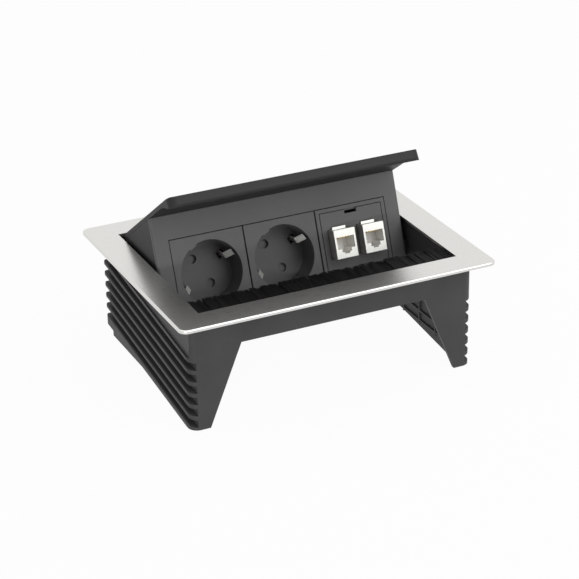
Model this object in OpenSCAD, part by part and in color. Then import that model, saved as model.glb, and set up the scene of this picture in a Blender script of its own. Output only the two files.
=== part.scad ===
/* [Bezel] */
// Width of the bezel's rails round the opening
rail = 18; // [17:0.5:26]
// Thickness of the bezel plate that lies on the desk
bezel_t = 2; // [1.6:0.1:2.4]
// Corner radius of the bezel
bezel_r = 5; // [3:0.5:8]
// Radius on the bezel's upper edge
edge_r = 0.8; // [0.4:0.1:1.2]

/* [Housing] */
// Wall thickness of the moulded housing
wall = 2.6; // [2:0.1:3]
// How far the side walls stand back from the opening
side_ledge = 2; // [1.5:0.1:2.4]
// How far the front and rear walls stand back from the opening
front_ledge = 2.6; // [2.2:0.1:3.4]
// Radius of the housing's front corners
front_r = 6; // [5:0.5:7]
// Radius of the housing's rear corners
rear_r = 2; // [1:0.5:5]
// How far the housing's front legs reach below the desk top
front_drop = 70; // [69:0.2:74]
// How far the side walls reach below the desk top
side_drop = 62.7; // [61:0.1:64]
// How far the rear corners reach below the desk top
rear_drop = 58.5; // [56:0.5:60]
// Height of the fascia across the front, below the desk top
fascia_h = 19.4; // [14:0.2:24]
// Width of a front leg at the fascia
leg_top = 32.7; // [26:0.1:40]
// Width of a front leg at its foot
leg_foot = 12; // [10:0.1:16]

/* [Cooling fins] */
// Number of grooves on each side
groove_count = 6; // [3:1:6]
// Distance from one groove to the next
fin_pitch = 7.36; // [6.5:0.02:7.4]
// Thickness of one fin
fin_t = 2.6; // [2:0.1:3.4]
// Depth of the grooves
fin_depth = 4.4; // [3:0.1:4.6]
// Slope of the fins, falling to the front
fin_slope = 6.8; // [4:0.1:7]
// How far the first groove starts below the desk top, half way back
fin_start = 18.6; // [17.8:0.2:19]

/* [Swivel unit] */
// Border of the panel beside the modules
side_border = 9.5; // [8:0.1:14]
// Gap between the unit and the opening at each side
side_gap = 2; // [1.6:0.1:2.4]
// Angle between the closed and the open position
open_angle = 35; // [30:1:36]
// Slope of the socket panel when open, from the horizontal
panel_slope = 70; // [68:0.5:72]
// Distance of the hinge axis from the opening's rear edge
hinge_in = 4.8; // [4.4:0.1:6]
// Distance of the hinge axis below the desk top
hinge_drop = 3.3; // [3.2:0.1:3.8]
// How far the closed lid reaches in front of the panel
overhang = 40.8; // [30:0.1:48]
// Gap in front of the closed lid, where cables leave through the brush
cable_gap = 22.9; // [16:0.1:30]
// Thickness of the lid
lid_t = 2.6; // [2.4:0.1:2.8]
// Thickness of the lid at its lip
lip_t = 6.8; // [5:0.1:7.2]
// Radius of the lip's end corners, seen from above
lip_corner = 5; // [3:0.5:7]
// Thickness of the panel and the covers
skin = 2.4; // [2:0.1:2.8]
// Border of the panel above the modules
top_border = 14.8; // [12:0.2:18]
// Border of the panel below the modules
foot_border = 5.2; // [4.8:0.2:6.4]
// Running gap between pieces that move past each other
gap = 0.5; // [0.4:0.05:0.7]

/* [Modules] */
// Width and height of one module
module_w = 48; // [46:0.2:56]
// Joint line round each module
seam = 0.45; // [0.25:0.05:0.5]
// Width of the plate outside the socket recess, at its narrowest
recess_rim = 4.3; // [3.6:0.1:6]
// Depth of the socket recess
recess_depth = 18; // [16:0.5:19]
// Depth of the contact carrier behind a socket
base_depth = 13; // [11:0.5:16]
// Distance between the two pin holes
pin_pitch = 19; // [18.8:0.1:19.2]
// Diameter of the pin holes
pin_hole = 5.6; // [5.2:0.1:6]
// Slant of the line through the pin holes, from the horizontal
pin_slant = 60.5; // [45:0.5:70]
// Width of the rim round the data plate
data_rim = 2.3; // [2:0.1:3]
// Gap between the two data jacks
jack_gap = 5.6; // [4:0.1:7]
// Plate beside the data jacks
jack_edge = 4.25; // [3:0.05:5]
// Height of one data jack
jack_h = 17.7; // [17:0.1:18.2]
// How far the data jacks stand out of their plate
jack_out = 8; // [5:0.5:9]

/* [Brush] */
// Thickness of the row of bristles
bristle_t = 5; // [4:0.5:6]
// Distance from one tuft to the next
tuft_pitch = 2; // [1.6:0.1:3]

/* [Hinge] */
// Diameter of the hinge pins
pin_d = 3; // [2.4:0.1:3]
// Play between a hinge pin and its bore
pin_play = 0.05; // [0.03:0.01:0.08]
// Wire of the lifting springs
spring_wire = 1; // [0.8:0.1:1]
// Turns of each lifting spring
spring_turns = 2.25; // [1.25:1:2.25]

/* [Hidden] */
$fn = 48;

eps = 0.01;
black = "#2b2b2c";
grey = "#5d5d5f";
steel = "#cfcfcc";
brass = "#c9a24a";

// Depth of the swivel unit, from its panel back to the hinge
fall = 180 - panel_slope - open_angle;
down_y = cos(fall);
down_z = -sin(fall);
play = 0.3;
floor_t = 2;
shutter_t = 1.6;
shutter_z = recess_depth + floor_t + shutter_t + 2 * play;
row_y = -(top_border + module_w / 2);
base_side = module_w - 4;
back_clear = 2.56;
heel_in = 0.8;
base_reach = (base_side / 2 - row_y) * down_y + (shutter_z + base_depth) * sin(fall);
unit_depth = round(10 * (base_reach + back_clear + skin + heel_in)) / 10;

// Bezel, from the unit that has to fit inside
row_w = 3 * module_w;
unit_w = row_w + 2 * side_border;
opening_w = unit_w + 2 * side_gap;
opening_d = cable_gap + overhang + unit_depth + hinge_in;
bezel_w = opening_w + 2 * rail;
bezel_d = opening_d + 2 * rail;
rebate = 0.3;

// Housing
inner_w = opening_w + 2 * side_ledge;
inner_d = opening_d + 2 * front_ledge;
housing_w = inner_w + 2 * (wall + fin_depth);
housing_d = inner_d + 2 * wall;
collar_inset = 1.2;
pocket_l = 60;
pocket_deep = 2;
rib_t = 1.2;
rib_out = 1;
rib_first = -36.1;
rib_pitch = 20.2;
rib_rows = [-34, -54];
tip_r = 0.3 * fin_t;

// Leaf springs
leaf_t = 0.8;
leaf_w = 24;
leaf_out = 2.2;
leaf_mid = 8.2;
leaf_half = 3.5;

// Swivel unit, drawn closed and then swung open
hinge_y = opening_d / 2 - hinge_in;
panel_y = hinge_y - unit_depth;
lid_z = bezel_t;
lid_under = lid_z - lid_t;
lip_y = panel_y - overhang;
bead_r = 1.9;
panel_z = lid_under;
panel_h = top_border + module_w + foot_border;
foot_y = panel_y + panel_h * down_y;
foot_z = panel_z + panel_h * down_z;
heel_y = hinge_y - heel_in;
face_back = skin + 0.1;
heel_z = foot_z + 9;
cap_t = 2;
boss_r = pin_d / 2 + 1.2;
boss_l = 5;

// Sockets
recess_d = module_w - 2 * recess_rim;
cup_wall = 1.2;
post_d = 5;
sleeve_d = 6.8;
bar_w = 5;
clip_w = 4;
clip_t = 0.6;
clip_in = 3.5;
clip_top = 3.4;
nose_deep = 9.5;
rib_w = 5;
rib_high = 1.1;

// Data module
plate_t = 2;
plate_w = module_w - 2 * seam - 2 * data_rim;
jack_w = (plate_w - jack_gap - 2 * jack_edge) / 2;
jack_pitch = jack_w + jack_gap;
jack_deep = 22;
jack_wall = 0.9;
jack_up = 1.2;
latch_w = 9;
latch_h = 1.5;

// Cover
inlet_x = -34;
inlet_w = 24;
inlet_h = 13;
inlet_out = 9;
inlet_pitch = 6.5;
window_w = 34;
window_h = 14;
screw_d = 2.6;
screw_x = [-unit_w / 2 + 9.5, inlet_x + inlet_w, module_w - window_w / 2 - 9, unit_w / 2 - 9.5];
screw_y = 11;

// Brush
brush_top = -0.6;
holder_t = front_ledge + 1.6;

// A plate with round corners in plan, centred on the origin
module rounded(w, d, r) {
    x = w / 2 - r;
    y = d / 2 - r;
    union() {
        square([w, d - 2 * r], center = true);
        square([w - 2 * r, d], center = true);
        for (sx = [-1, 1], sy = [-1, 1]) translate([sx * x, sy * y]) circle(r = r);
    }
}

// Points along an arc
function arc(c, r, from, to, n = 6) =
    [for (i = [0:n]) let (a = from + (to - from) * i / n) c + r * [cos(a), sin(a)]];

// A bar along X with the given outline in Y and Z
module along_x(w) {
    translate([-w / 2, 0, 0]) rotate([90, 0, 90]) linear_extrude(w) children();
}

// From the closed position of the unit to the open one
module swung() {
    translate([0, hinge_y, -hinge_drop]) rotate([-open_angle, 0, 0])
        translate([0, -hinge_y, hinge_drop]) children();
}

// Onto the panel: X to the right, Y up the panel, Z out of it, origin at the panel's top edge
module on_panel(x = 0, y = 0) {
    swung() translate([x, panel_y, panel_z]) rotate([180 - fall, 0, 0]) translate([0, y, 0]) children();
}

// Onto module number n, counted from the left, with its centre as origin
module on_module(n) {
    on_panel((n - 1) * module_w, row_y) children();
}

// Bezel
module bezel_frame() {
    color(steel) difference() {
        union() {
            linear_extrude(bezel_t - edge_r) rounded(bezel_w, bezel_d, bezel_r);
            linear_extrude(bezel_t) rounded(bezel_w - 2 * edge_r, bezel_d - 2 * edge_r, bezel_r - edge_r);
            for (s = [-1, 1]) {
                translate([-(bezel_w / 2 - bezel_r), s * (bezel_d / 2 - edge_r), bezel_t - edge_r])
                    rotate([0, 90, 0]) cylinder(r = edge_r, h = bezel_w - 2 * bezel_r);
                translate([s * (bezel_w / 2 - edge_r), bezel_d / 2 - bezel_r, bezel_t - edge_r])
                    rotate([90, 0, 0]) cylinder(r = edge_r, h = bezel_d - 2 * bezel_r);
            }
            for (sx = [-1, 1], sy = [-1, 1])
                translate([sx * (bezel_w / 2 - bezel_r), sy * (bezel_d / 2 - bezel_r), bezel_t - edge_r])
                    rotate_extrude() translate([bezel_r - edge_r, 0]) circle(r = edge_r);
        }
        translate([0, 0, -1]) linear_extrude(bezel_t + 2) square([opening_w, opening_d], center = true);
        translate([0, 0, -1]) linear_extrude(1 + rebate) collar_outline(0.1);
    }
}

// Plan of the housing's collar, which sits in a rebate of the bezel
module collar_outline(grow = 0) {
    square([housing_w - 2 * collar_inset + 2 * grow, housing_d + 2 * grow], center = true);
}

// Outline of the housing seen from the side
module side_outline() {
    f = housing_d / 2;
    polygon([[-f, rebate], [f, rebate], [f, -rear_drop], [f - 11, -rear_drop - 1], [f - 11, -side_drop],
             [8, -side_drop], [-f + 8, -front_drop], [-f, -front_drop]]);
}

// Grooves on one side, which leave the fins standing
module grooves(s) {
    h = (fin_pitch - fin_t) / 2;
    out = housing_w / 2;
    for (i = [0:groove_count - 1])
        translate([0, 0, -fin_start - i * fin_pitch - h]) rotate([fin_slope, 0, 0])
            scale([s, 1, 1]) rotate([90, 0, 0]) linear_extrude(housing_d + 40, center = true)
                polygon(concat(
                    [[out - fin_depth, -h], [out - fin_depth, h]],
                    arc([out - tip_r, h + tip_r], tip_r, 270, 360),
                    [[out + 5, h + tip_r], [out + 5, -h - tip_r]],
                    arc([out - tip_r, -h - tip_r], tip_r, 0, 90)));
}

module housing() {
    collar_h = fin_start - fin_t;
    color(black) difference() {
        union() {
            difference() {
                intersection() {
                    translate([0, 0, -front_drop - 5]) linear_extrude(front_drop + 5 + rebate) union() {
                        rounded(housing_w, housing_d, front_r);
                        translate([0, front_r / 2]) rounded(housing_w, housing_d - front_r, rear_r);
                    }
                    along_x(housing_w + 10) side_outline();
                }
                translate([0, 0, -front_drop - 10]) linear_extrude(front_drop + 10 + 2 * rebate)
                    square([inner_w, inner_d], center = true);
                for (s = [-1, 1]) {
                    grooves(s);
                    // The collar above the fins stands back, with a pocket for the retaining spring
                    translate([0, 0, -collar_h]) rotate([fin_slope, 0, 0])
                        translate([s * (housing_w / 2 - collar_inset + 10), 0, 15])
                            cube([20, housing_d + 40, 30], center = true);
                    translate([s * (housing_w / 2 - collar_inset - pocket_deep + 10), 0, -collar_h / 2])
                        cube([20, pocket_l, collar_h - 7], center = true);
                }
            }
            for (s = [-1, 1]) side_ribs(s);
        }
        front_cut();
        rear_cut();
        for (s = [-1, 1]) {
            translate([s * inner_w / 2 - 5, hinge_y, -hinge_drop]) rotate([0, 90, 0])
                cylinder(d = pin_d, h = 10);
        }
    }
}

// Lattice of ribs on the inner face of a side wall
module side_ribs(s) {
    x = s * (inner_w / 2 - rib_out / 2 + eps);
    for (i = [0:4])
        translate([x, rib_first + i * rib_pitch, -side_drop / 2 - 7])
            cube([rib_out, rib_t, side_drop - 14], center = true);
    for (z = rib_rows)
        translate([x, 0, z]) cube([rib_out, inner_d - 8, rib_t], center = true);
    translate([x, 0, -side_drop + 2]) cube([rib_out, inner_d - 40, rib_t], center = true);
}

module front_cut() {
    translate([0, -housing_d / 2 + wall + 3, 0]) rotate([90, 0, 0]) linear_extrude(wall + 6)
        cut_outline(housing_w / 2 - leg_top, housing_w / 2 - leg_foot, fascia_h);
}

module rear_cut() {
    translate([0, housing_d / 2 + 3, 0]) rotate([90, 0, 0]) linear_extrude(wall + 6)
        cut_outline(housing_w / 2 - leg_top, housing_w / 2 - leg_foot - 8, fascia_h + 12);
}

// Cut-out between two legs, wider at its foot
module cut_outline(half_top, half_foot, top) {
    polygon([[-half_top, -top], [half_top, -top], [half_foot, -front_drop],
             [half_foot, -front_drop - 20], [-half_foot, -front_drop - 20], [-half_foot, -front_drop]]);
}

// Brush strip along the front of the opening
module brush_holder() {
    h = bristle_t - brush_top + 1.2;
    color(black) translate([0, -inner_d / 2, -h]) difference() {
        translate([-(inner_w - 1) / 2, 0, 0]) cube([inner_w - 1, holder_t, h]);
        translate([-opening_w / 2 - eps, 1.2, 1.2]) cube([opening_w + 2 * eps, holder_t, bristle_t]);
    }
}

module brush_bristles() {
    root = -inner_d / 2 + 1.2;
    tip = lip_y - gap;
    n = floor((opening_w - 2) / tuft_pitch);
    half = n * tuft_pitch / 2;
    slit = tip - 12;
    points = [for (i = [0:n - 1]) each [
        [-half + i * tuft_pitch + 0.2, tip],
        [-half + (i + 1) * tuft_pitch - 0.2, tip - 0.5 * (i % 3)],
        [-half + (i + 1) * tuft_pitch, slit]]];
    color("#161614") translate([0, 0, brush_top - bristle_t]) linear_extrude(bristle_t)
        polygon(concat([[-half, root], [-half, slit]], points, [[half, root]]));
}

// Hinge pins, pressed into the side walls
module hinge_pin(s) {
    color(steel) translate([s * (unit_w / 2 - cap_t - boss_l + 0.5), hinge_y, -hinge_drop])
        rotate([0, s * 90, 0])
            cylinder(d = pin_d, h = inner_w / 2 + wall - (unit_w / 2 - cap_t - boss_l + 0.5));
}
module hinge_pin_left() { hinge_pin(-1); }
module hinge_pin_right() { hinge_pin(1); }

// Leaf springs that snap under the desk top
module retaining_spring(s) {
    face = housing_w / 2 - collar_inset - pocket_deep;
    out = pocket_deep + leaf_out;
    color(steel) scale([s, 1, 1]) translate([face, leaf_w / 2, -leaf_mid]) rotate([90, 0, 0]) linear_extrude(leaf_w)
        polygon([[0, leaf_half], [leaf_t, leaf_half], [out, 0], [out - leaf_t, -1],
                 [leaf_t, leaf_half - 1.8], [leaf_t, -leaf_half], [0, -leaf_half]]);
}
module retaining_spring_left() { retaining_spring(-1); }
module retaining_spring_right() { retaining_spring(1); }

// Lid
module lid() {
    top_r = 1.4;
    tail_y = hinge_y + 2.8;
    tail_z = -hinge_drop + boss_r + gap;
    color(grey) swung() intersection() {
        along_x(unit_w) polygon(concat(
            arc([lip_y + bead_r, lid_z - lip_t + bead_r], bead_r, 270, 180),
            arc([lip_y + top_r, lid_z - top_r], top_r, 180, 90),
            arc([tail_y - top_r, lid_z - top_r], top_r, 90, 0),
            [[tail_y, tail_z], [hinge_y - boss_r - 1, tail_z], [hinge_y - boss_r - 2, lid_under],
             [lip_y + 16, lid_under], [lip_y + 11, lid_under - 0.25 * (lip_t - lid_t)],
             [lip_y + 6.5, lid_under - 0.65 * (lip_t - lid_t)]]));
        translate([0, lip_y + unit_w / 2, -20]) linear_extrude(40) rounded(unit_w, unit_w, lip_corner);
    }
}

// Panel that carries the three modules
module front_panel() {
    side_r = 1.6;
    x = unit_w / 2 - side_r;
    color(grey) difference() {
        on_panel() difference() {
            translate([0, 1, 0]) rotate([90, 0, 0]) linear_extrude(panel_h + 1) polygon(concat(
                [[unit_w / 2, -skin]], arc([x, -side_r], side_r, 0, 90),
                arc([-x, -side_r], side_r, 90, 180), [[-unit_w / 2, -skin]]));
            translate([-row_w / 2, -top_border - module_w, -skin - 1]) cube([row_w, module_w, skin + 2]);
        }
        swung() translate([0, panel_y, panel_z - 0.05 + 10]) cube([unit_w + 10, 40, 20], center = true);
    }
}

// End caps with the hinge bosses
module end_cap(s) {
    inner = unit_w / 2 - cap_t - boss_l;
    color(black) swung() difference() {
        union() {
            translate([s * (unit_w / 2 - cap_t / 2), 0, 0]) along_x(cap_t) polygon([
                [panel_y + face_back / sin(fall), panel_z - 0.1], [hinge_y - boss_r - 3.2, panel_z - 0.1],
                [hinge_y, -hinge_drop + boss_r], [hinge_y + boss_r, -hinge_drop],
                [hinge_y + boss_r - 1, panel_z - 11], [heel_y, heel_z],
                [foot_y + face_back * sin(fall), foot_z + face_back * cos(fall)]]);
            translate([s * inner, hinge_y, -hinge_drop]) rotate([0, s * 90, 0])
                cylinder(r = boss_r, h = cap_t + boss_l);
        }
        translate([s * (inner - 1), hinge_y, -hinge_drop]) rotate([0, s * 90, 0])
            cylinder(d = pin_d + 2 * pin_play, h = cap_t + boss_l + 2);
    }
}
module end_cap_left() { end_cap(-1); }
module end_cap_right() { end_cap(1); }

// Cover that closes the unit behind the sockets
module rear_cover() {
    w = unit_w - 2 * cap_t - 0.2;
    color(black) swung() difference() {
        along_x(w) polygon([
            [foot_y + skin + 0.3, foot_z + 0.7], [heel_y, heel_z], [heel_y, panel_z - 11],
            [heel_y - skin, panel_z - 11], [heel_y - skin, heel_z + skin],
            [foot_y + skin + 0.3, foot_z + 0.7 + skin]]);
        under_face(inlet_x) cube([inlet_w + 2 * play, inlet_h + 2 * play, 20], center = true);
        under_face(module_w) cube([window_w, window_h, 20], center = true);
        cover_screw_places() translate([0, 0, -skin - 1]) cylinder(d = screw_d + 2 * play, h = skin + 2);
    }
}

// On the cover's lower face, with Z pointing out of the unit
module under_face(x) {
    tilt = atan2(heel_z - foot_z, heel_y - foot_y);
    translate([x, (foot_y + heel_y) / 2, (foot_z + heel_z) / 2]) rotate([tilt + 180, 0, 0]) children();
}

module cover_screw_places() {
    for (x = screw_x) under_face(x) translate([0, screw_y, 0]) children();
}

module cover_screws() {
    color(steel) swung() cover_screw_places() difference() {
        union() {
            translate([0, 0, 0.05]) cylinder(d = 2 * screw_d, h = 1.8);
            translate([0, 0, -skin - 3]) cylinder(d = screw_d, h = skin + 4);
        }
        translate([0, 0, 0.9]) cylinder(d = screw_d - 0.5, h = 2);
    }
}

// Coil spring round a hinge pin, with a leg to each side
module lift_spring(s) {
    r = pin_d / 2 + 0.4 + spring_wire / 2;
    pitch = spring_wire + 0.08;
    steps = 20;
    last = spring_turns * steps;
    x0 = unit_w / 2 + 0.3 + spring_wire / 2;
    coil = [for (i = [0:last]) let (a = 360 * i / steps)
        [x0 + pitch * i / steps, r * cos(a), r * sin(a)]];
    lead = [[x0, r, -7], [x0, r, -4]];
    a1 = 360 * spring_turns;
    end = [x0 + pitch * spring_turns, r * cos(a1), r * sin(a1)];
    leg = [end + [0, -5 * sin(a1), 5 * cos(a1)]];
    color(steel) translate([0, hinge_y, -hinge_drop]) scale([s, 1, 1]) wire(concat(lead, coil, leg), spring_wire / 2, 8);
}
module lift_spring_left() { lift_spring(-1); }
module lift_spring_right() { lift_spring(1); }

function unit(v) = v / norm(v);
function along(p, i) = unit(p[min(i + 1, len(p) - 1)] - p[max(i - 1, 0)]);

// A round wire swept along the given points
module wire(p, r, n) {
    rings = [for (i = [0:len(p) - 1]) let (
        t = along(p, i), u = unit(cross(t, abs(t[0]) < 0.9 ? [1, 0, 0] : [0, 1, 0])), v = cross(t, u))
        [for (k = [0:n - 1]) p[i] + r * (cos(360 * k / n) * u + sin(360 * k / n) * v)]];
    faces = concat(
        [[for (k = [0:n - 1]) k]],
        [[for (k = [n - 1:-1:0]) (len(p) - 1) * n + k]],
        [for (i = [0:len(p) - 2], k = [0:n - 1])
            [i * n + k, (i + 1) * n + k, (i + 1) * n + (k + 1) % n, i * n + (k + 1) % n]]);
    polyhedron([for (ring = rings) each ring], faces);
}

// Socket insert: plate, recess cup, guide ribs, pin holes and windows for the earth clips
module socket_insert(n) {
    side = module_w - 2 * seam;
    r = recess_d / 2;
    color(grey) on_module(n) difference() {
        union() {
            translate([-side / 2, -side / 2, -skin]) cube([side, side, skin]);
            translate([0, 0, -recess_depth - floor_t]) cylinder(r = r + cup_wall, h = recess_depth + floor_t - skin / 2);
        }
        difference() {
            translate([0, 0, -recess_depth]) cylinder(r = r, h = recess_depth + 1);
            rotate(-pin_slant) for (s = [-1, 1]) translate([s * (r - rib_high + 2.5), 0, -recess_depth / 2 - 0.5])
                cube([5, rib_w, recess_depth + 1], center = true);
        }
        rotate(-pin_slant) for (s = [-1, 1]) translate([s * pin_pitch / 2, 0, -recess_depth - floor_t - 1])
            cylinder(d = pin_hole, h = floor_t + 2);
        rotate(90 - pin_slant) for (s = [-1, 1])
            {
                translate([s * (r + cup_wall / 2), 0, -(clip_top + nose_deep) / 2])
                    cube([cup_wall + 1.6, clip_w + 2 * play, nose_deep - clip_top + 1], center = true);
                translate([s * (r - clip_in), 0, -recess_depth])
                    cube([5, clip_w + 2 * play, 2 * floor_t + 1], center = true);
            }
    }
}
module socket_insert_1() { socket_insert(0); }
module socket_insert_2() { socket_insert(1); }

// Sprung earth clips on both sides of the recess
module earth_clips(n) {
    r = recess_d / 2;
    foot = r - clip_in;
    nose = foot - 1.6;
    color(steel) on_module(n) for (a = [0, 180])
        rotate(90 - pin_slant + a) translate([0, clip_w / 2, 0]) rotate([90, 0, 0]) linear_extrude(clip_w)
            polygon([
                [foot, -shutter_z - 5], [foot, 1 - recess_depth], [nose, -nose_deep],
                [r - 0.9, -clip_top], [r - 0.4, -clip_top - 0.5], [nose + clip_t, -nose_deep],
                [foot + clip_t, 1 - recess_depth], [foot + clip_t, -shutter_z - 5]]);
}
module earth_clips_1() { earth_clips(0); }
module earth_clips_2() { earth_clips(1); }

// Base with the bores for the contact sleeves and the post that the shutter turns on
module socket_base(n) {
    side = base_side;
    r = recess_d / 2 + cup_wall;
    chamber = shutter_t + 2 * play;
    color(black) on_module(n) translate([0, 0, -shutter_z]) difference() {
        union() {
            translate([-side / 2, -side / 2, -base_depth]) cube([side, side, base_depth]);
            difference() {
                cylinder(r = r, h = chamber);
                translate([0, 0, -1]) cylinder(r = r - 1.6, h = chamber + 2);
            }
            cylinder(d = post_d, h = chamber - eps);
        }
        rotate(-pin_slant) for (s = [-1, 1]) translate([s * pin_pitch / 2, 0, -base_depth - 1])
            cylinder(d = sleeve_d + 0.2, h = base_depth + 2);
        rotate(90 - pin_slant) for (s = [-1, 1])
            translate([s * (recess_d / 2 - clip_in + clip_t / 2), 0, -2.5])
                cube([clip_t + 2 * play, clip_w + 2 * play, 5.4], center = true);
    }
}
module socket_base_1() { socket_base(0); }
module socket_base_2() { socket_base(1); }

// Brass sleeves that grip the plug's pins
module pin_sleeves(n) {
    color(brass) on_module(n) rotate(-pin_slant) for (s = [-1, 1])
        translate([s * pin_pitch / 2, 0, -shutter_z - base_depth]) difference() {
            cylinder(d = sleeve_d, h = base_depth - 1);
            translate([0, 0, 2]) cylinder(d = 4.9, h = base_depth);
            translate([0, 0, base_depth / 2 + 3]) cube([0.8, sleeve_d + 1, base_depth - 4], center = true);
        }
}
module pin_sleeves_1() { pin_sleeves(0); }
module pin_sleeves_2() { pin_sleeves(1); }

// Shutter that covers the pin holes until both pins push it aside
module shutter(n) {
    r = pin_pitch / 2 + pin_hole / 2 + 1.4;
    half = 21;
    color("#454547") on_module(n) translate([0, 0, -shutter_z + play]) rotate(-pin_slant) difference() {
        union() {
            cylinder(d = post_d + 4, h = shutter_t);
            for (a = [0, 180]) rotate(a) linear_extrude(shutter_t)
                polygon(concat([[0, 0]], [for (b = [-half:half / 4:half]) r * [cos(b), sin(b)]]));
        }
        translate([0, 0, -1]) cylinder(d = post_d + 2 * pin_play, h = shutter_t + 2);
    }
}
module shutter_1() { shutter(0); }
module shutter_2() { shutter(1); }

// Brass strips that join the sockets behind their bases
module busbar(y, x_from, x_to) {
    color(brass) on_panel(0, row_y) translate([x_from, y - bar_w / 2, -shutter_z - base_depth - 1])
        cube([x_to - x_from, bar_w, 1 - eps]);
}
module busbar_live() {
    a = pin_pitch / 2 * [cos(pin_slant), sin(pin_slant)];
    busbar(a[1], -module_w - a[0] - 3, module_w / 2 - 4);
}
module busbar_neutral() {
    a = pin_pitch / 2 * [cos(pin_slant), sin(pin_slant)];
    busbar(-a[1], -module_w + a[0] - 3, module_w / 2 - 4);
}
module busbar_earth() { busbar(0, -module_w - 18, module_w / 2 - 4); }

// Data module
module data_frame() {
    side = module_w - 2 * seam;
    hole = side - 2 * data_rim;
    color(grey) on_module(2) difference() {
        translate([-side / 2, -side / 2, -5]) cube([side, side, 5]);
        translate([-hole / 2, -hole / 2, -plate_t]) cube([hole, hole, 10]);
        translate([-hole / 2 + 1.2, -hole / 2 + 1.2, -10]) cube([hole - 2.4, hole - 2.4, 20]);
    }
}

module data_plate() {
    side = plate_w - 2 * seam;
    color(grey) on_module(2) difference() {
        translate([-side / 2, -side / 2, -plate_t]) cube([side, side, plate_t]);
        translate([0, side / 2 - 0.6, 0]) cube([8.3, 3.6, 10], center = true);
        for (s = [-1, 1]) translate([s * jack_pitch / 2, jack_up, 0])
            jack_hole();
    }
}

module jack_hole() {
    union() {
        cube([jack_w + 2 * play, jack_h + 2 * play, 10], center = true);
        translate([0, jack_h / 2, 0]) cube([latch_w + 2 * play, 2 * (latch_h + play), 10], center = true);
    }
}

// Face of a data socket: contact window with a stepped notch for the plug's latch
module jack_mouth(grow = 0) {
    translate([0, 0.6]) union() {
        square([jack_w - 2.4 + grow, 7.4 + grow], center = true);
        translate([0, -4.6]) square([6.4 + grow, 2.4 + grow], center = true);
        translate([0, -6]) square([3.6 + grow, 1.8 + grow], center = true);
    }
}

module jack_shell(s) {
    long = jack_deep + jack_out;
    color(steel) on_module(2) translate([s * jack_pitch / 2, jack_up, 0]) difference() {
        union() {
            translate([-jack_w / 2, -jack_h / 2, -jack_deep]) cube([jack_w, jack_h, long]);
            translate([-latch_w / 2, jack_h / 2 - eps, -1.6]) cube([latch_w, latch_h, 2.6]);
        }
        translate([-jack_w / 2 + jack_wall, -jack_h / 2 + jack_wall, -jack_deep - 1])
            cube([jack_w - 2 * jack_wall, jack_h - 2 * jack_wall, long + 1 - jack_wall]);
        translate([0, 0, jack_out - 3]) linear_extrude(5) jack_mouth();
    }
}
module jack_shell_1() { jack_shell(-1); }
module jack_shell_2() { jack_shell(1); }

// Plastic core of a data socket
module jack_insert(s) {
    w = jack_w - 2 * jack_wall - 0.1;
    h = jack_h - 2 * jack_wall - 0.1;
    color("#e8e6dc") on_module(2) translate([s * jack_pitch / 2, jack_up, 0]) difference() {
        translate([-w / 2, -h / 2, -jack_deep + 1]) cube([w, h, jack_deep + jack_out - jack_wall - 1 - eps]);
        translate([0, 0, jack_out - 11]) linear_extrude(20) jack_mouth();
    }
}
module jack_insert_1() { jack_insert(-1); }
module jack_insert_2() { jack_insert(1); }

// Eight gold contact wires
module jack_contacts(s) {
    color(brass) on_module(2) translate([s * jack_pitch / 2, jack_up + 0.6, jack_out]) for (i = [-3.5:1:3.5])
        translate([i * 1.02 - 0.2, 0, 0]) rotate([0, 90, 0]) linear_extrude(0.4)
            polygon([[2, 3.7], [11, 2.4], [11, 1.9], [10.4, 1.9], [1.6, 3.1], [1.6, 3.7]]);
}
module jack_contacts_1() { jack_contacts(-1); }
module jack_contacts_2() { jack_contacts(1); }

// Three-pole mains inlet on the underside
module mains_inlet() {
    color(black) swung() under_face(inlet_x) difference() {
        union() {
            translate([-inlet_w / 2, -inlet_h / 2, -4]) cube([inlet_w, inlet_h, inlet_out + 4]);
            translate([-inlet_w / 2 - 2, -inlet_h / 2 - 2, 0.1]) cube([inlet_w + 4, inlet_h + 4, 1.6]);
        }
        translate([-inlet_w / 2 + 1.6, -inlet_h / 2 + 1.6, -1]) cube([inlet_w - 3.2, inlet_h - 3.2, 20]);
    }
}

module inlet_pins() {
    color(brass) swung() under_face(inlet_x) for (x = [-inlet_pitch, 0, inlet_pitch])
        translate([x, 0, -1]) cylinder(d = 2.6, h = inlet_out - 1);
}

bezel_frame();
housing();
brush_holder();
brush_bristles();
hinge_pin_left();
hinge_pin_right();
retaining_spring_left();
retaining_spring_right();
lid();
front_panel();
end_cap_left();
end_cap_right();
rear_cover();
cover_screws();
lift_spring_left();
lift_spring_right();
socket_insert_1();
socket_insert_2();
socket_base_1();
socket_base_2();
earth_clips_1();
earth_clips_2();
pin_sleeves_1();
pin_sleeves_2();
shutter_1();
shutter_2();
busbar_live();
busbar_neutral();
busbar_earth();
data_frame();
data_plate();
jack_shell_1();
jack_shell_2();
jack_insert_1();
jack_insert_2();
jack_contacts_1();
jack_contacts_2();
mains_inlet();
inlet_pins();
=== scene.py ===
"""In-desk power module: finishes, brush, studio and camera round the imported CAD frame."""
import math
import random

import bpy
from mathutils import Matrix, Vector


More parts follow.
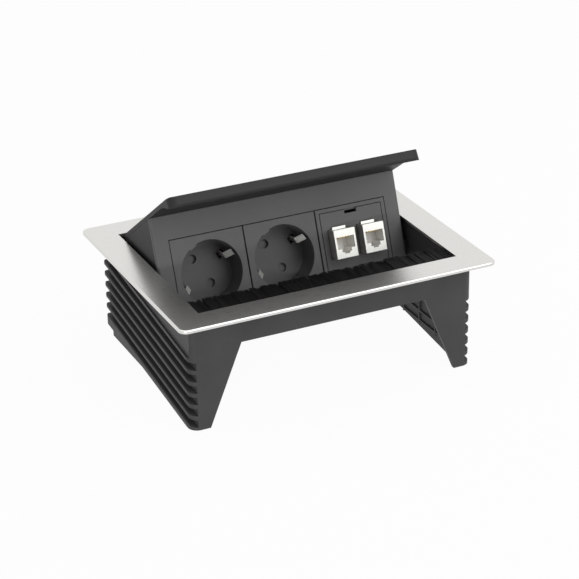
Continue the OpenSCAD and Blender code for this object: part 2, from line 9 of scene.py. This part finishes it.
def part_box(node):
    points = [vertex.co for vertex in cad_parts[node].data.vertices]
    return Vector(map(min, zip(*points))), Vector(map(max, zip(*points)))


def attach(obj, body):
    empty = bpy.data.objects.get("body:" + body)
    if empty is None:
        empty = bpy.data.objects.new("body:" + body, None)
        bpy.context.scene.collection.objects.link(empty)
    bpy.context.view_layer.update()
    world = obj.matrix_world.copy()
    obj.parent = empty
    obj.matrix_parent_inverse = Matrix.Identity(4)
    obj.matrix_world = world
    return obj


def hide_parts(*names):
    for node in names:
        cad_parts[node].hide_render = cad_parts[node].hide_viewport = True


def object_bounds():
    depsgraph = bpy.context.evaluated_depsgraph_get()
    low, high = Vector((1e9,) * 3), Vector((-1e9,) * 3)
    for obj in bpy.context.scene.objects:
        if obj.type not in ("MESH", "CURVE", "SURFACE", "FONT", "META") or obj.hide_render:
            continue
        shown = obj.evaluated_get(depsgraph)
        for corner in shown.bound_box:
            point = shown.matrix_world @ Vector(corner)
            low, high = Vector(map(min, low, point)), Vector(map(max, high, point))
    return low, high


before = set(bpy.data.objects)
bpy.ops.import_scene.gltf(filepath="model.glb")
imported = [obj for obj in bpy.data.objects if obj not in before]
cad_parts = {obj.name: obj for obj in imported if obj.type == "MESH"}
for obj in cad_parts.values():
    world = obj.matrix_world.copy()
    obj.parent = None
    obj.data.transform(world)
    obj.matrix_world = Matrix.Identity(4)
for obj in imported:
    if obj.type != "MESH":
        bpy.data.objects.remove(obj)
cad_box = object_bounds()

MM = 0.001

# The photograph's camera
LENS = 124.89
SENSOR = 36.0
EYE = Vector((-470.4, -1002.9, 499.0)) * MM
RIGHT = Vector((0.90107, -0.43339, -0.01580))
UP = Vector((0.19904, 0.38089, 0.90294))
FORWARD = Vector((0.38531, 0.81676, -0.42947))

# Brush: a tuft of COLUMNS by ROWS bristles every TUFT along it
BRISTLE_D = 0.36 * MM
COLUMNS = 7
ROWS = 9
ROW_CROWDING = 1.6      # above 1, the rows lie closer at the top
TUFT = 2.3 * MM
TUFT_SINK = 1.0 * MM
TUFT_LEAN = 0.3         # share of the tufts' pitch
ROOT_SPREAD = 0.8       # width of a tuft at its roots, as a share of the pitch
TIP_SPREAD = 1.15       # width at the tips, as a share of the width at the roots
TIP_SCATTER = 0.4 * MM
TIP_STRAY = 0.3 * MM

# Studio
FLOOR_REACH = 6
FLOOR_GAP = 0.05 * MM
FLOOR_GLOW = 0.96       # share of the seen floor that is plain white, the rest keeps the shadow
ROOM_LIGHT = 0.5
LIGHTS = [              # name, place, target, size in metres, power in watts
    ("key", (0.65, -1.09, 0.97), (0, 0, 0), (1.3, 1.3), 14),
    ("low_fill", (-0.8, -1.1, -0.02), (0, 0, -0.03), (0.5, 0.08), 6),
    ("top", (0.1, 0.5, 1.4), (0, 0, 0), (1.0, 0.8), 5),
]

# Looks of the materials
METALS = {
    "brushed_steel": dict(colour=(0.69, 0.685, 0.665), rough=0.28, scale=5200,
                          relief=0.00002 * MM, stretch=(0.03, 1, 1), spread=0.01, gloss=0.008),
    "spring_steel": dict(colour=(0.62, 0.61, 0.59), rough=0.26, scale=700, relief=0.01 * MM,
                         spread=0.08),
    "clip_steel": dict(colour=(0.95, 0.94, 0.9), rough=0.5, scale=900, relief=0.005 * MM,
                       spread=0.06),
    "jack_metal": dict(colour=(0.62, 0.62, 0.59), rough=0.44, scale=420, relief=0.01 * MM,
                       stretch=(1, 0.3, 1), spread=0.08),
    "brass": dict(colour=(0.72, 0.52, 0.2), rough=0.28, scale=500, relief=0.01 * MM, spread=0.1),
    "gold": dict(colour=(0.86, 0.62, 0.22), rough=0.2, scale=500, relief=0.005 * MM),
}
PLASTICS = {
    # The lid's colour is partly its own darker grey and partly painted shade: it is set far below
    # the panel's grey so that its shaded lip and underside come out dark.
    "grey_lid": dict(colour=(0.02, 0.02, 0.0205), rough=0.5, grain=0.012 * MM, specular=0.2),
    "grey_panel": dict(colour=(0.075, 0.075, 0.0755), rough=0.45, grain=0.012 * MM,
                       specular=0.35),
    "shutter_plastic": dict(colour=(0.07, 0.07, 0.072), rough=0.5),
    "housing_plastic": dict(colour=(0.05, 0.05, 0.0508), rough=0.48, spread=0.08, specular=0.2),
    "black_plastic": dict(colour=(0.013, 0.013, 0.0132), rough=0.45, specular=0.18),
    "jack_plastic": dict(colour=(0.82, 0.82, 0.8), rough=0.45),
}

# Noise is spread between its usual lowest and highest values
NOISE_RANGE = (0.3, 0.7)

# Finishes of the CAD nodes, by material
FINISH = {
    "brushed_steel": ["bezel_frame"],
    "spring_steel": ["hinge_pin_left", "hinge_pin_right", "retaining_spring_left",
                     "retaining_spring_right", "lift_spring_left", "lift_spring_right",
                     "cover_screws"],
    "clip_steel": ["earth_clips_1", "earth_clips_2"],
    "jack_metal": ["jack_shell_1", "jack_shell_2"],
    "brass": ["pin_sleeves_1", "pin_sleeves_2", "busbar_live", "busbar_neutral", "busbar_earth",
              "inlet_pins"],
    "gold": ["jack_contacts_1", "jack_contacts_2"],
    "grey_lid": ["lid"],
    "grey_panel": ["front_panel", "socket_insert_1", "socket_insert_2", "data_frame", "data_plate"],
    "shutter_plastic": ["shutter_1", "shutter_2"],
    "housing_plastic": ["housing"],
    "black_plastic": ["brush_holder", "end_cap_left", "end_cap_right", "rear_cover",
                      "socket_base_1", "socket_base_2", "mains_inlet"],
    "jack_plastic": ["jack_insert_1", "jack_insert_2"],
}


def new_material(name):
    """An empty material with its shader and a noise-ready coordinate node."""
    m = bpy.data.materials.new(name)
    m.use_nodes = True
    nodes, links = m.node_tree.nodes, m.node_tree.links
    shader = nodes["Principled BSDF"]
    coords = nodes.new("ShaderNodeTexCoord")
    return m, nodes, links, shader, coords


def stretched_noise(nodes, links, coords, scale, stretch, detail=4.0):
    """Noise over the object's own coordinates, stretched along each axis."""
    mapping = nodes.new("ShaderNodeMapping")
    mapping.inputs["Scale"].default_value = stretch
    links.new(coords.outputs["Object"], mapping.inputs["Vector"])
    noise = nodes.new("ShaderNodeTexNoise")
    noise.inputs["Scale"].default_value = scale
    noise.inputs["Detail"].default_value = detail
    links.new(mapping.outputs["Vector"], noise.inputs["Vector"])
    return noise.outputs["Fac"]


def ranged(nodes, links, value, low, high):
    """The value, spread between two numbers."""
    n = nodes.new("ShaderNodeMapRange")
    n.inputs["From Min"].default_value, n.inputs["From Max"].default_value = NOISE_RANGE
    n.inputs["To Min"].default_value = low
    n.inputs["To Max"].default_value = high
    links.new(value, n.inputs["Value"])
    return n.outputs["Result"]


def tinted(nodes, links, value, dark, light):
    """A colour between two, chosen by the value."""
    mix = nodes.new("ShaderNodeMix")
    mix.data_type = "RGBA"
    links.new(value, mix.inputs["Factor"])
    mix.inputs["A"].default_value = (*dark, 1)
    mix.inputs["B"].default_value = (*light, 1)
    return mix.outputs["Result"]


def bumped(nodes, links, shader, height, distance, strength, edge=0.0):
    """Surface relief from the height, over edges rounded by the radius edge."""
    bump = nodes.new("ShaderNodeBump")
    bump.inputs["Distance"].default_value = distance
    bump.inputs["Strength"].default_value = strength
    links.new(height, bump.inputs["Height"])
    if edge:
        bevel = nodes.new("ShaderNodeBevel")
        bevel.samples = 4
        bevel.inputs["Radius"].default_value = edge
        links.new(bevel.outputs["Normal"], bump.inputs["Normal"])
    links.new(bump.outputs["Normal"], shader.inputs["Normal"])


def moulded(name, colour, rough, grain=0.02 * MM, spread=0.06, specular=0.5):
    """Moulded plastic with a fine eroded grain, soft edges and slightly uneven gloss."""
    m, nodes, links, shader, coords = new_material(name)
    cloud = stretched_noise(nodes, links, coords, 38, (1, 1, 1))
    fine = stretched_noise(nodes, links, coords, 2600, (1, 1, 1), 2.0)
    dark = tuple(c * (1 - spread) for c in colour)
    light = tuple(c * (1 + spread) for c in colour)
    links.new(tinted(nodes, links, ranged(nodes, links, cloud, 0, 1), dark, light),
              shader.inputs["Base Color"])
    links.new(ranged(nodes, links, fine, rough - 0.05, rough + 0.05), shader.inputs["Roughness"])
    shader.inputs["Specular IOR Level"].default_value = specular
    bumped(nodes, links, shader, fine, grain, 0.7, 0.3 * MM)
    return m


def metal(name, colour, rough, scale, relief, stretch=(1, 1, 1), spread=0.05, gloss=0.06):
    """Metal with fine marks, which the stretch draws out along an axis; gloss is their contrast."""
    m, nodes, links, shader, coords = new_material(name)
    shader.inputs["Metallic"].default_value = 1.0
    streak = stretched_noise(nodes, links, coords, scale, stretch, 5.0)
    dark = tuple(c * (1 - spread) for c in colour)
    light = tuple(min(1.0, c * (1 + spread)) for c in colour)
    links.new(tinted(nodes, links, ranged(nodes, links, streak, 0, 1), dark, light),
              shader.inputs["Base Color"])
    links.new(ranged(nodes, links, streak, rough - gloss, rough + gloss),
              shader.inputs["Roughness"])
    bumped(nodes, links, shader, streak, relief, 0.5)
    return m


def bristle_material():
    """Black nylon with a dull sheen along each bristle."""
    m, nodes, links, shader, coords = new_material("bristle")
    streak = stretched_noise(nodes, links, coords, 900, (1, 0.05, 1), 3.0)
    links.new(tinted(nodes, links, ranged(nodes, links, streak, 0, 1),
                     (0.001, 0.001, 0.001), (0.006, 0.006, 0.0056)), shader.inputs["Base Color"])
    links.new(ranged(nodes, links, streak, 0.5, 0.7), shader.inputs["Roughness"])
    shader.inputs["Specular IOR Level"].default_value = 0.14
    return m


def make_materials():
    materials = {name: metal(name, **looks) for name, looks in METALS.items()}
    materials.update({name: moulded(name, **looks) for name, looks in PLASTICS.items()})
    materials["bristle"] = bristle_material()
    return materials


def dress_frame(materials):
    """Give every CAD node its procedural finish."""
    for finish, nodes in FINISH.items():
        for name in nodes:
            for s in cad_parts[name].material_slots:
                s.material = materials[finish]


def mesh_object(name, points, faces, material):
    mesh = bpy.data.meshes.new(name)
    mesh.from_pydata(points, [], faces)
    mesh.update()
    mesh.materials.append(material)
    o = bpy.data.objects.new(name, mesh)
    bpy.context.scene.collection.objects.link(o)
    return o


def make_bristles(material):
    """Single bristles in uneven tufts, in the space of the CAD row of bristles."""
    rng = random.Random(7)
    lo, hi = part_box("brush_bristles")
    margin = Vector((BRISTLE_D, 0, BRISTLE_D))
    points, faces = [], []
    tufts = int((hi.x - lo.x) / TUFT)
    step = (hi.x - lo.x) / tufts
    for tuft in range(tufts):
        centre = lo.x + (tuft + 0.5) * step
        sink = rng.uniform(0, 1) ** 2 * TUFT_SINK
        short = rng.uniform(0, 1) ** 2 * TIP_SCATTER
        lean = rng.uniform(-TUFT_LEAN, TUFT_LEAN) * step
        for row in range(ROWS):
            depth = (row / (ROWS - 1)) ** ROW_CROWDING
            z = hi.z - BRISTLE_D - (hi.z - lo.z - 2 * BRISTLE_D) * depth
            for column in range(COLUMNS):
                place = column + 0.5 - COLUMNS / 2 + 0.25 * (row % 2)
                x = centre + place * ROOT_SPREAD * step / COLUMNS
                root = Vector((x, lo.y, z))
                stray = rng.uniform(-TIP_STRAY, TIP_STRAY)
                tip = Vector((centre + lean + TIP_SPREAD * (x - centre) + stray,
                              hi.y - short - rng.uniform(0, 0.5) * TIP_SCATTER,
                              z - sink + rng.uniform(-0.1, 0.3) * MM))
                for point in (root, tip):
                    for axis in (0, 2):
                        low, high = lo[axis] + margin[axis], hi[axis] - margin[axis]
                        point[axis] = min(max(point[axis], low), high)
                bow = Vector((rng.uniform(-0.15, 0.15), 0, rng.uniform(-0.1, 0))) * MM
                add_fibre(points, faces, root, tip, bow)
    o = mesh_object("bristles", points, faces, material)
    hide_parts("brush_bristles")
    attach(o, "root")
    return o


def add_fibre(points, faces, root, tip, bow, rings=4, sides=3):
    """A thin bent rod from root to tip, narrower at its tip."""
    start = len(points)
    for i in range(rings):
        t = i / (rings - 1)
        mid = root.lerp(tip, t) + bow * math.sin(math.pi * t)
        r = 0.5 * BRISTLE_D * (1 if i < rings - 1 else 0.6)
        for k in range(sides):
            a = 2 * math.pi * k / sides + 0.5
            points.append((mid.x + r * math.cos(a), mid.y, mid.z + r * math.sin(a)))
    for i in range(rings - 1):
        for k in range(sides):
            a, b = start + i * sides + k, start + i * sides + (k + 1) % sides
            faces.append((a, b, b + sides, a + sides))
    faces.append(tuple(start + (rings - 1) * sides + k for k in range(sides)))
    faces.append(tuple(start + k for k in reversed(range(sides))))


def seen(nodes, links, share):
    """The share for rays that show the background, straight or in metal and glass, else 0."""
    path = nodes.new("ShaderNodeLightPath")
    value = path.outputs["Is Camera Ray"]
    for kind in ("Is Glossy Ray", "Is Transmission Ray"):
        either = nodes.new("ShaderNodeMath")
        either.operation = "MAXIMUM"
        links.new(value, either.inputs[0])
        links.new(path.outputs[kind], either.inputs[1])
        value = either.outputs[0]
    part = nodes.new("ShaderNodeMath")
    part.operation = "MULTIPLY"
    part.inputs[1].default_value = share
    links.new(value, part.inputs[0])
    return part.outputs[0]


def make_floor():
    """White floor that keeps a pale shadow."""
    m, nodes, links, shader, coords = new_material("floor")
    speck = stretched_noise(nodes, links, coords, 30, (1, 1, 1))
    links.new(tinted(nodes, links, speck, (0.6, 0.6, 0.6), (0.62, 0.62, 0.62)),
              shader.inputs["Base Color"])
    shader.inputs["Roughness"].default_value = 0.9
    shader.inputs["Specular IOR Level"].default_value = 0.1
    glow = nodes.new("ShaderNodeEmission")
    mix = nodes.new("ShaderNodeMixShader")
    links.new(seen(nodes, links, FLOOR_GLOW), mix.inputs[0])
    links.new(shader.outputs[0], mix.inputs[1])
    links.new(glow.outputs[0], mix.inputs[2])
    links.new(mix.outputs[0], nodes["Material Output"].inputs["Surface"])
    z = cad_box[0].z - FLOOR_GAP
    corners = [(-FLOOR_REACH, -FLOOR_REACH, z), (FLOOR_REACH, -FLOOR_REACH, z),
               (FLOOR_REACH, FLOOR_REACH, z), (-FLOOR_REACH, FLOOR_REACH, z)]
    floor = mesh_object("floor", corners, [(0, 1, 2, 3)], m)


def make_world():
    """White where it is seen, softer as a light."""
    world = bpy.data.worlds.new("studio")
    world.use_nodes = True
    nodes, links = world.node_tree.nodes, world.node_tree.links
    background = nodes["Background"]
    background.inputs["Color"].default_value = (1, 1, 1, 1)
    level = nodes.new("ShaderNodeMapRange")
    level.inputs["To Min"].default_value = ROOM_LIGHT
    level.inputs["To Max"].default_value = 1.0
    links.new(seen(nodes, links, 1.0), level.inputs["Value"])
    links.new(level.outputs["Result"], background.inputs["Strength"])
    bpy.context.scene.world = world


def area_light(name, place, target, size, power):
    data = bpy.data.lights.new(name, "AREA")
    data.shape = "RECTANGLE"
    data.size, data.size_y = size
    data.energy = power
    o = bpy.data.objects.new(name, data)
    o.location = place
    o.rotation_euler = (Vector(target) - Vector(place)).to_track_quat("-Z", "Y").to_euler()
    bpy.context.scene.collection.objects.link(o)


def make_camera():
    data = bpy.data.cameras.new("camera")
    data.lens = LENS
    data.sensor_width = SENSOR
    data.clip_start = 0.05
    camera = bpy.data.objects.new("camera", data)
    m = Matrix.Identity(4)
    for i in range(3):
        m[i][0], m[i][1], m[i][2], m[i][3] = RIGHT[i], UP[i], -FORWARD[i], EYE[i]
    camera.matrix_world = m
    bpy.context.scene.collection.objects.link(camera)
    bpy.context.scene.camera = camera


make_camera()
materials = make_materials()
dress_frame(materials)
make_bristles(materials["bristle"])
make_floor()
make_world()
for light in LIGHTS:
    area_light(*light)
bpy.context.scene.view_settings.view_transform = "Standard"
